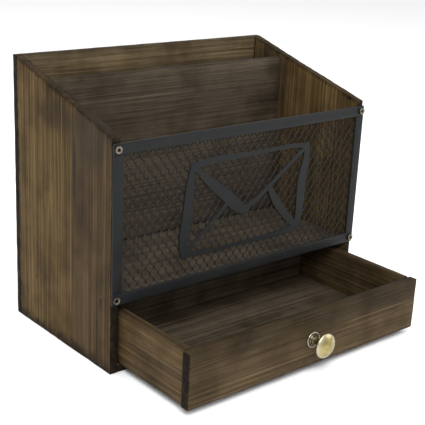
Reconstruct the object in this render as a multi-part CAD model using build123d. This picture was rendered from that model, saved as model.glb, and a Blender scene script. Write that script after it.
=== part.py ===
"""Desktop mail organizer: wooden carcass with two mail slots, a steel mesh front and a pull-out drawer.

Millimetres, +Z up, the front faces -Y, +X is the viewer's right. The origin is the centre of the
footprint of the carcass, on the surface it stands on. One STEP file is written per node.
"""
from build123d import *
import math
import os

os.makedirs("parts", exist_ok=True)

# ---------------------------------------------------------------- driving sizes
WIDTH = 300.0          # over both side panels
DEPTH = 162.0          # front edge of the wood to the outside of the back panel
BACK_H = 256.0         # height at the back
FRONT_H = 213.5        # height of the side panels at the front
SIDE_T = 8.0           # side panels
BACK_T = 6.0           # back panel, nailed on behind the side panels
BASE_T = 6.0           # floor of the drawer bay
SHELF_T = 6.0          # floor of the mail slots
DIVIDER_T = 6.0        # panel between the two mail slots
BAY_H = 59.5           # clear height of the drawer bay
REAR_SLOT = 37.0       # clear depth of the rear mail slot
DIVIDER_DROP = 4.5     # divider top below the sloping edge of the side panels
FRAME_DROP = 5.0       # top of the steel frame below the front top corner of the side panels
BAR_W = 10.0           # flat bar of the frame
BAR_T = 2.0
MESH_T = 0.8           # expanded metal sheet
MESH_COLUMNS = 32      # diamonds across the window of the frame
MESH_ASPECT = 1.303    # diamond height over diamond width
STRAND_W = 0.9         # width of one strand of the mesh
KNUCKLE_W = 1.3        # where two strands run together, upright
KNUCKLE_L = 1.7
SIGN_W = 144.0         # envelope drawn in brush strokes and cut from sheet, on the mesh
SIGN_T = 1.5
SIGN_SLANT = 0.10      # lean of the drawing to the right
OPEN_TRAVEL = 97.0     # how far the drawer stands open at rest
DRAWER_WALL = 7.0      # drawer sides and back
DRAWER_FRONT_T = 9.0
DRAWER_INSET = 3.5     # side panel of the carcass to the side of the drawer
TRAY_T = 3.0           # drawer bottom, held in grooves
KNOB_D = 23.0
KNOB_H = 21.0          # how far the knob stands out
ROSETTE_D = 15.2
SCREW_HEAD_D = 7.2     # frame screws
SCREW_D = 3.0
SCREW_L = 16.0
BRAD_D = 1.2
BRAD_L = 20.0

# ---------------------------------------------------------------- clearances
SLIDE_GAP = 0.3        # under the drawer sides
FRONT_GAP = 1.0        # each side of the drawer front in the bay
FRONT_LIFT = 0.5       # drawer front above the base panel
HEAD_GAP = 7.7         # drawer sides and back below the shelf
FRONT_HEAD_GAP = 8.0   # drawer front below the shelf
SIGN_MARGIN = 16.5     # sign below and above to the bars of the frame
SCREW_CLEAR = 2.0      # tip of a frame screw to the first row of brads
REAR_GAP = 2.0         # behind the closed drawer
MESH_GAP = 0.5         # mesh edge to wood
BORE_FIT = 0.05        # radial, every shank in its hole
GROOVE_DEPTH = 4.0
GROOVE_FIT = 0.2       # above the drawer bottom in its groove
TRAY_END_GAP = 0.5     # drawer bottom to the end of its groove
ARRIS = 0.6            # eased edges of the wood
BAR_EDGE = 0.3         # eased front edges of the bars

# ---------------------------------------------------------------- derived positions
x_out = WIDTH / 2
x_in = x_out - SIDE_T
y_front = -DEPTH / 2
y_rear = DEPTH / 2
y_back = y_rear - BACK_T            # inner face of the back panel
z_shelf = BASE_T + BAY_H
z_shelf_top = z_shelf + SHELF_T
slope = (BACK_H - FRONT_H) / (y_back - y_front)
divider_y1 = y_back - REAR_SLOT
divider_y0 = divider_y1 - DIVIDER_T
divider_top = FRONT_H + slope * (divider_y0 - y_front) - DIVIDER_DROP
frame_z0 = z_shelf
frame_z1 = FRONT_H - FRAME_DROP
y_bar = y_front - BAR_T             # front face of the bars
SIGN_H = frame_z1 - frame_z0 - 2 * BAR_W - 2 * SIGN_MARGIN
DRAWER_H = BAY_H - SLIDE_GAP - HEAD_GAP
DRAWER_FRONT_H = BAY_H - FRONT_LIFT - FRONT_HEAD_GAP


def save(shape, name):
    """Write one node and report its size."""
    shape.label = name
    export_step(shape, "parts/" + name + ".step")
    solids = shape.solids()
    print(name, len(solids), "solid(s)", round(sum(s.volume for s in solids)), "mm3")


def block(x0, x1, y0, y1, z0, z1):
    """A plain box between two corners."""
    return Pos((x0 + x1) / 2, (y0 + y1) / 2, (z0 + z1) / 2) * Box(x1 - x0, y1 - y0, z1 - z0)


def board(x0, x1, y0, y1, z0, z1):
    """A wooden board: a box with its arrises eased."""
    b = block(x0, x1, y0, y1, z0, z1)
    return chamfer(b.edges(), ARRIS)


def rod(radius, start, direction, length):
    """A solid cylinder from a start point along a direction."""
    plane = Plane(origin=start, z_dir=direction)
    return plane * (Pos(0, 0, length / 2) * Cylinder(radius, length))


def turned(points, start, direction):
    """Revolve an (r, h) outline about the axis through start; h runs along direction."""
    outline = Polyline(*[(r, 0, h) for r, h in points], close=True)
    solid = revolve(make_face(outline), Axis.Z)
    return Plane(origin=start, z_dir=direction) * solid


# ---------------------------------------------------------------- fixings
BRAD_HEAD_R = 1.0
BRAD_HEAD_T = 0.6
BRAD_SET = 0.3         # head set below the surface


def brad(p, d):
    """A brad driven at point p on a surface along d, its head just below the surface."""
    p, d = Vector(*p), Vector(*d)
    head = rod(BRAD_HEAD_R, p + d * BRAD_SET, d, BRAD_HEAD_T)
    return head + rod(BRAD_D / 2, p + d * BRAD_SET, d, BRAD_L - BRAD_SET)


def brad_hole(p, d):
    """The hole for a brad, with room for its head."""
    p, d = Vector(*p), Vector(*d)
    mouth = rod(BRAD_HEAD_R + BORE_FIT, p - d, d, 1 + BRAD_SET + BRAD_HEAD_T)
    return mouth + rod(BRAD_D / 2 + BORE_FIT, p, d, BRAD_L + 0.4)


brad_y = (y_bar + SCREW_L + SCREW_CLEAR, 0.0, y_back - 14)
side_marks = [(y, z_shelf + SHELF_T / 2) for y in brad_y]
side_marks += [(y, BASE_T / 2) for y in brad_y]
divider_mid = (divider_y0 + divider_y1) / 2
side_marks += [(divider_mid, z_shelf_top + 40), (divider_mid, divider_top - 30)]
side_brads = {
    -1: [((-x_out, y, z), (1, 0, 0)) for y, z in side_marks],
    1: [((x_out, y, z), (-1, 0, 0)) for y, z in side_marks],
}
back_brads = [((s * (x_out - SIDE_T / 2), y_rear, z), (0, -1, 0))
              for s in (-1, 1) for z in (24.0, BACK_H / 2, BACK_H - 24.0)]
back_brads += [((x, y_rear, z), (0, -1, 0))
               for x in (-70.0, 70.0) for z in (BASE_T / 2, z_shelf + SHELF_T / 2)]
screw_x = x_out - SIDE_T / 2
screw_z = (frame_z0 + BAR_W / 2, frame_z1 - BAR_W / 2)
screw_spots = [(s * screw_x, z) for z in screw_z for s in (-1, 1)]


def screw_hole(x, z, length):
    """Hole for one frame screw, drilled backwards from the front of the frame."""
    return rod(SCREW_D / 2 + BORE_FIT, (x, y_bar - 1, z), (0, 1, 0), length + 1)


def drill(part, holes):
    """Cut every hole that reaches the part."""
    for hole in holes:
        part = part - hole
    return part


# ---------------------------------------------------------------- wooden carcass
for name, s in (("left_side_panel", -1), ("right_side_panel", 1)):
    xa, xb = sorted((s * x_in, s * x_out))
    outline = Polyline((xa, y_front, 0), (xa, y_back, 0), (xa, y_back, BACK_H),
                       (xa, y_front, FRONT_H), close=True)
    panel = extrude(make_face(outline), amount=SIDE_T, dir=(1, 0, 0))
    panel = chamfer(panel.edges(), ARRIS)
    panel = drill(panel, [brad_hole(p, d) for p, d in side_brads[s]])
    panel = drill(panel, [brad_hole(p, d) for p, d in back_brads if p[0] * s > x_in])
    panel = drill(panel, [screw_hole(x, z, SCREW_L + 0.5) for x, z in screw_spots if x * s > 0])
    save(panel, name)

all_side = [brad_hole(p, d) for s in (-1, 1) for p, d in side_brads[s]]
all_back = [brad_hole(p, d) for p, d in back_brads]

back = board(-x_out, x_out, y_back, y_rear, 0, BACK_H)
save(drill(back, all_back), "back_panel")
base = board(-x_in, x_in, y_front, y_back, 0, BASE_T)
save(drill(base, all_side + all_back), "base_panel")
shelf = board(-x_in, x_in, y_front, y_back, z_shelf, z_shelf_top)
save(drill(shelf, all_side + all_back), "mail_shelf")
divider = board(-x_in, x_in, divider_y0, divider_y1, z_shelf_top, divider_top)
save(drill(divider, all_side), "divider_panel")

# ---------------------------------------------------------------- steel frame, mesh and sign
frame_holes = [screw_hole(x, z, 4) for x, z in screw_spots]


def bar(x0, x1, z0, z1):
    """A flat bar with its front edges eased."""
    b = block(x0, x1, y_bar, y_front, z0, z1)
    return chamfer(b.faces().sort_by(Axis.Y)[0].edges(), BAR_EDGE)


top_bar = bar(-x_out, x_out, frame_z1 - BAR_W, frame_z1)
save(drill(top_bar, frame_holes), "frame_top_bar")
bottom_bar = bar(-x_out, x_out, frame_z0, frame_z0 + BAR_W)
save(drill(bottom_bar, frame_holes), "frame_bottom_bar")
for name, s in (("frame_left_bar", -1), ("frame_right_bar", 1)):
    xa, xb = sorted((s * (x_out - BAR_W), s * x_out))
    save(bar(xa, xb, frame_z0 + BAR_W, frame_z1 - BAR_W), name)

# Expanded metal: one sheet with staggered diamond openings, trimmed to size behind the bars.
pitch_x = (WIDTH - 2 * BAR_W) / MESH_COLUMNS
pitch_z = pitch_x * MESH_ASPECT
half_x, half_z = pitch_x / 2, pitch_z / 2
mesh_x = x_in - MESH_GAP
mesh_z0, mesh_z1 = z_shelf_top + MESH_GAP, frame_z1 - BAR_W / 2
mesh_mid = (frame_z0 + frame_z1) / 2
rise = (half_z - KNUCKLE_L) / half_x            # slope of a strand between two knuckles
strand_z = STRAND_W / 2 * math.hypot(1, rise)   # half a strand, measured upright
hole_x = half_x - KNUCKLE_W / 2
hole_z = half_z - KNUCKLE_L / 2 - strand_z
flat_z = KNUCKLE_L / 2 + rise * KNUCKLE_W / 2 - strand_z
n_x = math.ceil((mesh_x + hole_x) / half_x)
n_z = math.ceil(((mesh_z1 - mesh_z0) / 2 + hole_z + 2) / half_z)
diamonds = []
for i in range(-n_x, n_x + 1):
    for j in range(-n_z, n_z + 1):
        if (i + j) % 2:
            continue
        cx, cz = i * half_x, mesh_mid + j * half_z
        if abs(cx) - hole_x > mesh_x or cz - hole_z > mesh_z1 or cz + hole_z < mesh_z0:
            continue
        diamonds.append(Wire.make_polygon(
            [Vector(cx - hole_x, y_front, cz - flat_z), Vector(cx - hole_x, y_front, cz + flat_z),
             Vector(cx, y_front, cz + hole_z),
             Vector(cx + hole_x, y_front, cz + flat_z), Vector(cx + hole_x, y_front, cz - flat_z),
             Vector(cx, y_front, cz - hole_z)], close=True))
big_x, big_z = (n_x + 2) * half_x, (n_z + 2) * half_z
rim = Wire.make_polygon(
    [Vector(-big_x, y_front, mesh_mid - big_z), Vector(-big_x, y_front, mesh_mid + big_z),
     Vector(big_x, y_front, mesh_mid + big_z), Vector(big_x, y_front, mesh_mid - big_z)], close=True)
sheet = extrude(Face(rim, diamonds), amount=MESH_T, dir=(0, 1, 0))
trim = block(-mesh_x, mesh_x, y_front - 1, y_front + MESH_T + 1, mesh_z0, mesh_z1)
sheet = sheet & trim
sheet = max(sheet.solids(), key=lambda s: s.volume)
save(sheet, "mesh_screen")

# The sign: an envelope drawn in thick and thin brush strokes, cut from flat steel.
# Each stroke is a list of (across, up, half width), across and up running from -1 to 1.
STROKES = {
    "left side": [(-0.96, 0.93, 2.5), (-0.985, 0.45, 4.5), (-0.97, -0.1, 5.8), (-0.985, -0.6, 5.2),
                  (-0.96, -0.93, 3.2)],
    "foot": [(-0.97, -0.90, 3.0), (-0.45, -0.955, 1.9), (0.2, -0.95, 2.1), (0.75, -0.93, 3.0),
             (0.985, -0.86, 3.2)],
    "right side": [(0.97, -0.90, 3.2), (0.99, -0.4, 5.0), (0.965, 0.15, 5.5), (0.985, 0.6, 4.2),
                   (0.97, 0.93, 2.5)],
    "top": [(-0.98, 0.90, 2.8), (-0.5, 0.955, 3.1), (0.1, 0.94, 2.1), (0.6, 0.955, 1.9),
            (0.98, 0.90, 2.8)],
    "flap down": [(-0.965, 0.90, 2.2), (-0.66, 0.50, 4.2), (-0.34, 0.12, 5.8), (-0.08, -0.19, 5.0),
                  (0.02, -0.25, 3.2)],
    "flap up": [(-0.05, -0.22, 3.2), (0.22, 0.0, 2.2), (0.52, 0.36, 1.8), (0.80, 0.70, 2.0),
                (0.965, 0.90, 2.4)],
    "left fold": [(-0.965, -0.90, 2.1), (-0.70, -0.54, 1.8), (-0.46, -0.20, 1.9), (-0.30, 0.08, 2.5)],
    "right fold": [(0.965, -0.87, 2.8), (0.72, -0.52, 4.2), (0.48, -0.10, 4.0), (0.36, 0.18, 2.1)],
}


def stroke_face(points):
    """One brush stroke: two smooth sides with a round end at each tip."""
    pts = [(x * SIGN_W / 2 + SIGN_SLANT * z * SIGN_H / 2, z * SIGN_H / 2, r) for x, z, r in points]
    left, right = [], []
    for i, (x, z, r) in enumerate(pts):
        x0, z0, _ = pts[max(i - 1, 0)]
        x1, z1, _ = pts[min(i + 1, len(pts) - 1)]
        length = math.hypot(x1 - x0, z1 - z0)
        ux, uz = (x1 - x0) / length, (z1 - z0) / length
        left.append((x - uz * r, z + ux * r))
        right.append((x + uz * r, z - ux * r))
        if i == 0:
            start = (x - ux * r, z - uz * r)
        end = (x + ux * r, z + uz * r)
    edges = [Spline(*left), ThreePointArc(left[-1], end, right[-1]),
             Spline(*right[::-1]), ThreePointArc(right[0], start, left[0])]
    return make_face(edges)


sign_z = mesh_mid
flat = Plane(origin=(0, y_front, sign_z), x_dir=(1, 0, 0), z_dir=(0, -1, 0))
plate = Sketch()
for points in STROKES.values():
    plate = plate + stroke_face(points)
sign = extrude(flat * plate, amount=SIGN_T, dir=(0, -1, 0))
save(sign, "envelope_sign")

# Frame screws: domed heads on the bars with a cross recess.
screws = []
r = SCREW_HEAD_D / 2
for x, z in screw_spots:
    head = turned([(0, 0), (r, 0), (r, 0.7), (r * 0.86, 1.35), (r * 0.6, 1.8), (0, 2.0)],
                  (x, y_bar, z), (0, -1, 0))
    for a, b in ((3.8, 0.95), (0.95, 3.8)):
        head = head - block(x - a / 2, x + a / 2, y_bar - 3, y_bar - 0.7, z - b / 2, z + b / 2)
    shank = turned([(0, 0), (SCREW_D / 2, 0), (SCREW_D / 2, SCREW_L - 3), (0.2, SCREW_L), (0, SCREW_L)],
                   (x, y_bar, z), (0, 1, 0))
    screws.append(head + shank)
save(Compound(children=screws), "frame_screws")
save(Compound(children=[brad(p, d) for s in (-1, 1) for p, d in side_brads[s]]), "side_brads")
save(Compound(children=[brad(p, d) for p, d in back_brads]), "back_brads")

# ---------------------------------------------------------------- drawer, standing open
y_face = y_front - OPEN_TRAVEL                 # outer face of the drawer front
y_wall = y_face + DRAWER_FRONT_T               # back of the drawer front
y_end = y_back - REAR_GAP - OPEN_TRAVEL        # rear of the drawer
z_run = BASE_T + SLIDE_GAP
front_x = x_in - FRONT_GAP
wall_x = x_in - DRAWER_INSET
tray_x = wall_x - DRAWER_WALL
z_front = BASE_T + FRONT_LIFT
z_top = z_run + DRAWER_H
z_tray = z_run + 5.0
knob_z = z_front + DRAWER_FRONT_H / 2
groove_x = tray_x + GROOVE_DEPTH
groove_y0 = y_wall - GROOVE_DEPTH
groove_y1 = y_end - DRAWER_WALL + GROOVE_DEPTH
groove = block(-groove_x, groove_x, groove_y0, groove_y1, z_tray, z_tray + TRAY_T + GROOVE_FIT)
drawer_marks = [(s, z) for s in (-1, 1) for z in (z_run + 15, z_run + DRAWER_H - 10)]
drawer_brads = [((s * wall_x, y_end - DRAWER_WALL / 2, z), (-s, 0, 0)) for s, z in drawer_marks]
drawer_holes = [brad_hole(p, d) for p, d in drawer_brads]

front = board(-front_x, front_x, y_face, y_wall, z_front, z_front + DRAWER_FRONT_H)
knob_bore = rod(2.0 + BORE_FIT, (0, y_face - 1, knob_z), (0, 1, 0), DRAWER_FRONT_T + 2)
save(front - groove - knob_bore, "drawer_front")
for name, s in (("drawer_left_side", -1), ("drawer_right_side", 1)):
    xa, xb = sorted((s * tray_x, s * wall_x))
    save(drill(board(xa, xb, y_wall, y_end, z_run, z_top) - groove, drawer_holes), name)
rear = board(-tray_x, tray_x, y_end - DRAWER_WALL, y_end, z_run, z_top)
save(drill(rear - groove, drawer_holes), "drawer_back")
tray = block(-groove_x + TRAY_END_GAP, groove_x - TRAY_END_GAP,
             groove_y0 + TRAY_END_GAP, groove_y1 - TRAY_END_GAP, z_tray, z_tray + TRAY_T)
save(tray, "drawer_bottom")
save(Compound(children=[brad(p, d) for p, d in drawer_brads]), "drawer_brads")

# ---------------------------------------------------------------- knob
out = (0, -1, 0)
R = ROSETTE_D / 2
ROSETTE_T = 3.2
bore_r = 2.0 + BORE_FIT
rosette = turned([(bore_r, 0), (R - 0.3, 0), (R, 0.4), (R, 1.1), (R - 0.5, 1.6), (R - 1.2, 1.6),
                  (R - 1.6, 1.0), (R - 2.0, 1.0), (R - 2.35, 2.0), (R - 2.9, 2.3), (R - 3.3, 1.9),
                  (R - 3.55, 1.9), (R - 3.8, 2.9), (R - 4.1, ROSETTE_T), (bore_r, ROSETTE_T)],
                 (0, y_face, knob_z), out)
save(rosette, "knob_rosette")
K = KNOB_D / 2
RIM_H = KNOB_H - 5.4   # height of the widest part of the head
BORE_H = KNOB_H - 6.4
with BuildPart() as turned_knob:
    with BuildSketch(Plane.XZ) as profile:
        with BuildLine():
            Polyline((0, BORE_H), (bore_r, BORE_H), (bore_r, ROSETTE_T), (3.3, ROSETTE_T))
            Spline((3.3, ROSETTE_T), (2.9, RIM_H * 0.42), (3.8, RIM_H * 0.64), (K * 0.61, RIM_H - 2.4),
                   (K - 0.8, RIM_H - 1.0))
            Spline((K - 0.8, RIM_H - 1.0), (K, RIM_H), (K - 0.6, RIM_H + 1.2))
            Spline((K - 0.6, RIM_H + 1.2), (K * 0.72, RIM_H + 3.45), (K * 0.38, RIM_H + 4.9), (0, KNOB_H),
                   tangents=((-1, 0.62), (-1, 0)))
            Line((0, KNOB_H), (0, BORE_H))
        make_face()
    revolve(axis=Axis.Z)
knob = Plane(origin=(0, y_face, knob_z), z_dir=out) * turned_knob.part
save(knob, "knob")

WASHER_T = 0.8
washer = turned([(bore_r, 0), (4.5, 0), (4.5, WASHER_T), (bore_r, WASHER_T)],
                (0, y_wall, knob_z), (0, 1, 0))
save(washer, "knob_washer")
head = turned([(0, 0), (4.0, 0), (4.0, 1.0), (3.2, 2.1), (1.8, 2.5), (0, 2.5)],
              (0, y_wall + WASHER_T, knob_z), (0, 1, 0))
for a, b in ((4.2, 1.0), (1.0, 4.2)):
    head = head - block(-a / 2, a / 2, y_wall + WASHER_T + 1.0, y_wall + WASHER_T + 4,
                        knob_z - b / 2, knob_z + b / 2)
bolt = head + rod(2.0, (0, y_wall + WASHER_T, knob_z), out, WASHER_T + DRAWER_FRONT_T + BORE_H - 1.0)
save(bolt, "knob_screw")

print("bay", BASE_T, z_shelf, "shelf top", z_shelf_top, "divider", divider_y0, divider_y1, divider_top)
print("drawer face", y_face, "end", y_end, "tray top", z_tray + TRAY_T, "knob z", knob_z)
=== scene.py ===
# %% [markdown]
# # A desk organizer in stained wood and black steel
# The rest of this lesson dresses it. Some parts keep their CAD mesh and get a finish. Others, such
# as the boards with their worn edges and the expanded metal, are modelled anew.

# %% Load the fixed frame
import math

import bmesh
import bpy
from mathutils import Matrix, Vector


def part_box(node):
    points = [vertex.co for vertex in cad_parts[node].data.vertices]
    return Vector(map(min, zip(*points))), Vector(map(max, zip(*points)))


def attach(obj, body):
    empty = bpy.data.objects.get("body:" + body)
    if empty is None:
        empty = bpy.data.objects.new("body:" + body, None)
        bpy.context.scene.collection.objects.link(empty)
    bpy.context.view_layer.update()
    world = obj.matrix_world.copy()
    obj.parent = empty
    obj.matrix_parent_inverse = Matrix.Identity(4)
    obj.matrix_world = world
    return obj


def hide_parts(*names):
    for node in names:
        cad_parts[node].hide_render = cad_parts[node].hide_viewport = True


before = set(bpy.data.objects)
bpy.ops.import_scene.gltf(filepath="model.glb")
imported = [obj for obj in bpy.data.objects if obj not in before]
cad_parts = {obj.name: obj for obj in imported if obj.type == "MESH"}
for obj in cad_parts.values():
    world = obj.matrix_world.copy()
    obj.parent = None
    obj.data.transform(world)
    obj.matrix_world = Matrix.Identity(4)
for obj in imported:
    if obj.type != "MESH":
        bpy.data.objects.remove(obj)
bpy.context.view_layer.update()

MM = 0.001

# %% [markdown]
# ## The bench
# A real modeller clears the selection before every step, because an operator acts on all that is
# selected. These small helpers do the same: one clears, one starts a box at its final place, one
# opens edit mode with nothing selected, and one selects faces or vertices by where they are.

# %% Selection and edit-mode helpers
def clear_selection():
    """Object mode, nothing selected."""
    if bpy.context.object and bpy.context.object.mode != "OBJECT":
        bpy.ops.object.mode_set(mode="OBJECT")
    bpy.ops.object.select_all(action="DESELECT")


def activate(obj):
    """Only obj is selected and active."""
    clear_selection()
    obj.select_set(True)
    bpy.context.view_layer.objects.active = obj


def settle(obj, name):
    """Names a new piece and moves its place, turn and size into its mesh."""
    activate(obj)
    bpy.ops.object.transform_apply(location=True, rotation=True, scale=True)
    obj.name = name
    obj.data.name = name
    return obj


def box_piece(name, lo, hi):
    """A cube primitive stretched between two corners."""
    clear_selection()
    lo, hi = Vector(lo), Vector(hi)
    bpy.ops.mesh.primitive_cube_add(size=1, location=(lo + hi) / 2, scale=hi - lo)
    return settle(bpy.context.object, name)


def edit(obj, kind="FACE"):
    """Edit mode on obj with nothing selected."""
    activate(obj)
    bpy.ops.object.mode_set(mode="EDIT")
    bpy.ops.mesh.select_mode(type=kind)
    bpy.ops.mesh.select_all(action="DESELECT")


def pick(obj, kind, test):
    """Selects the faces or verts of obj whose middle passes the test."""
    mesh = bmesh.from_edit_mesh(obj.data)
    for item in getattr(mesh, kind):
        if test(item.co if kind == "verts" else item.calc_center_median()):
            item.select_set(True)
    bmesh.update_edit_mesh(obj.data)


def apply_modifier(obj, kind, **settings):
    """Adds one modifier, sets it up and applies it."""
    activate(obj)
    modifier = obj.modifiers.new(kind.title(), kind)
    for key, value in settings.items():
        setattr(modifier, key, value)
    bpy.ops.object.modifier_apply(modifier=modifier.name)


def smooth(obj, degrees=35):
    """Smooth shading that keeps every edge sharper than the angle."""
    activate(obj)
    bpy.ops.object.shade_smooth_by_angle(angle=math.radians(degrees))


print("helpers ready")

# %% [markdown]
# ## Building node graphs
# Each finish is a small graph of nodes. A tiny class keeps the code readable: `g.add` makes a node
# and plugs its inputs, `g.math` makes a calculation, and colours are written as the hex numbers a
# paint shop would use.

# %% Node graph helper
def hex_colour(code):
    """A hex colour as linear light, the way shaders count it."""
    channels = [int(code[i:i + 2], 16) / 255 for i in (1, 3, 5)]
    linear = [c / 12.92 if c <= 0.04045 else ((c + 0.055) / 1.055) ** 2.4 for c in channels]
    return tuple(linear) + (1.0,)


class Graph:
    """The node tree of one material."""

    def __init__(self, name):
        self.material = bpy.data.materials.new(name)
        self.material.use_nodes = True
        self.tree = self.material.node_tree
        self.tree.nodes.clear()
        self.shader = self.tree.nodes.new("ShaderNodeBsdfPrincipled")
        output = self.tree.nodes.new("ShaderNodeOutputMaterial")
        self.tree.links.new(self.shader.outputs[0], output.inputs[0])

    def plug(self, socket, value):
        if isinstance(value, bpy.types.NodeSocket):
            self.tree.links.new(value, socket)
        else:
            socket.default_value = value

    def add(self, kind, inputs=(), out=0, **settings):
        node = self.tree.nodes.new("ShaderNode" + kind)
        for key, value in settings.items():
            setattr(node, key, value)
        for key, value in dict(inputs).items():
            self.plug(node.inputs[key], value)
        return node.outputs[out]

    def math(self, operation, *values, clamp=False):
        return self.add("Math", dict(enumerate(values)), operation=operation, use_clamp=clamp)

    def place(self):
        """Object coordinates, which are metres in the shared frame."""
        return self.add("TexCoord", out="Object")

    def noise(self, vector, scale, detail=2.0, rough=0.5):
        """Noise from 0 to 1 whose grain differs along X, Y and Z."""
        stretched = self.add("Mapping", {"Vector": vector, "Scale": scale})
        return self.add("TexNoise", {"Vector": stretched, "Scale": 1.0, "Detail": detail,
                                     "Roughness": rough})

    def ramp(self, factor, stops):
        """A colour ramp from (place, hex colour) stops."""
        node = self.tree.nodes.new("ShaderNodeValToRGB")
        self.plug(node.inputs[0], factor)
        ramp = node.color_ramp
        ramp.interpolation = "LINEAR"
        while len(ramp.elements) < len(stops):
            ramp.elements.new(0.5)
        for element, (at, colour) in zip(ramp.elements, stops):
            element.position = at
            element.color = hex_colour(colour)
        return node.outputs[0]

    def span(self, value, low, high, to_low=0.0, to_high=1.0):
        """Maps low..high to to_low..to_high with soft ends."""
        return self.add("MapRange", {"Value": value, "From Min": low, "From Max": high,
                                     "To Min": to_low, "To Max": to_high},
                        interpolation_type="SMOOTHSTEP")

    def mix(self, factor, first, second, blend="MIX"):
        node = self.tree.nodes.new("ShaderNodeMix")
        node.data_type = "RGBA"
        node.blend_type = blend
        self.plug(node.inputs[0], factor)
        for place, colour in ((6, first), (7, second)):
            self.plug(node.inputs[place], hex_colour(colour) if isinstance(colour, str) else colour)
        return node.outputs[2]

    def evenly(self, value, low, high, to_low, to_high):
        """Maps low..high to to_low..to_high along a straight line."""
        return self.add("MapRange", {"Value": value, "From Min": low, "From Max": high,
                                     "To Min": to_low, "To Max": to_high})

    def off_axis(self, place, centre_x, centre_z):
        """How far a point lies from the axis that runs along Y through (centre_x, centre_z)."""
        moved = self.add("VectorMath", {0: place, 1: (centre_x, 0, centre_z)}, operation="SUBTRACT")
        flat = self.add("VectorMath", {0: moved, 1: (1, 0, 1)}, operation="MULTIPLY")
        return self.add("VectorMath", {0: flat}, out="Value", operation="LENGTH")

    def under(self, place, normal, offset, width):
        """How deep a point lies under the plane (normal, offset), counted in widths."""
        along = self.add("VectorMath", {0: place, 1: normal}, out="Value", operation="DOT_PRODUCT")
        return self.math("DIVIDE", self.math("SUBTRACT", offset, along), width)

    def set(self, **sockets):
        for key, value in sockets.items():
            self.plug(self.shader.inputs[key.replace("_", " ")], value)

    def bump(self, height, distance, strength=1.0):
        self.set(Normal=self.add("Bump", {"Height": height, "Distance": distance, "Strength": strength}))


print("graph helper ready")

# %% [markdown]
# ## Stained wood
# The boards are softwood, scorched and then stained dark brown. A saw cuts a board out of a tree
# that grew in cones, so the dark late-wood lines are slices of a cone: straight at the sides of the
# board, pointed arches in the middle. The graph measures how far each point lies from the pith of
# that tree, turns the distance into rings, and bends them with slow noise. Finer noise adds streaks
# of stain, fibres and pores. The edges of every board are burnt nearly black, with an uneven
# border, so the graph also measures the distance to each edge.

# %% The wood finish
RING = 4.4 * MM        # usual spacing of the late-wood lines
WARP = 5.0 * MM        # how far slow noise bends them
STAVE_SHIFT = 4.4      # how far beyond a glue joint the noise is shifted, in metres
WOOD_SPECULAR = 0.06
WOOD_ROUGH, WOOD_SMOOTH = 0.72, 0.56
GRAIN_DEPTH = 0.25 * MM
ARRIS_WIDTH = 0.9 * MM   # of the dark line along an arris


def edge_burn(g, place, edges):
    """How burnt a point is. Each edge is (normal, offset, width of its rim, amount on the rim)."""
    ragged = g.noise(place, (95, 95, 95), detail=4, rough=0.65)
    ragged = g.math("MULTIPLY", g.math("SUBTRACT", ragged, 0.5), 1.7)
    burn = 0.0
    for normal, offset, width, amount in edges:
        depth = g.math("ADD", g.under(place, normal, offset, width), ragged)
        burn = g.math("MAXIMUM", burn, g.span(depth, 0.1, 1.1, amount, 0.0))
    return burn


def arris_line(g, place, planes, width):
    """1 along the arrises where two of a board's planes meet, 0 on its flat faces."""
    total = -1.0
    for normal, offset in planes:
        near = g.math("SUBTRACT", 1.0, g.under(place, normal, offset, width), clamp=True)
        total = g.math("ADD", total, near)
    patchy = g.span(g.noise(place, (120, 120, 120), detail=3, rough=0.6), 0.34, 0.60, 0.25, 1.0)
    return g.math("MULTIPLY", g.math("MAXIMUM", total, 0.0), patchy)


def spot(g, first, second, centre, reach, ragged):
    """1 inside an ellipse, 0 outside, with an uneven border."""
    squares = [g.math("POWER", g.math("DIVIDE", g.math("SUBTRACT", value, middle), half), 2.0)
               for value, middle, half in zip((first, second), centre, reach)]
    away = g.math("SQRT", g.math("ADD", *squares))
    uneven = g.math("MULTIPLY", g.math("SUBTRACT", ragged, 0.5), 0.9)
    return g.span(g.math("ADD", away, uneven), 0.45, 1.25, 1.0, 0.0)


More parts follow.
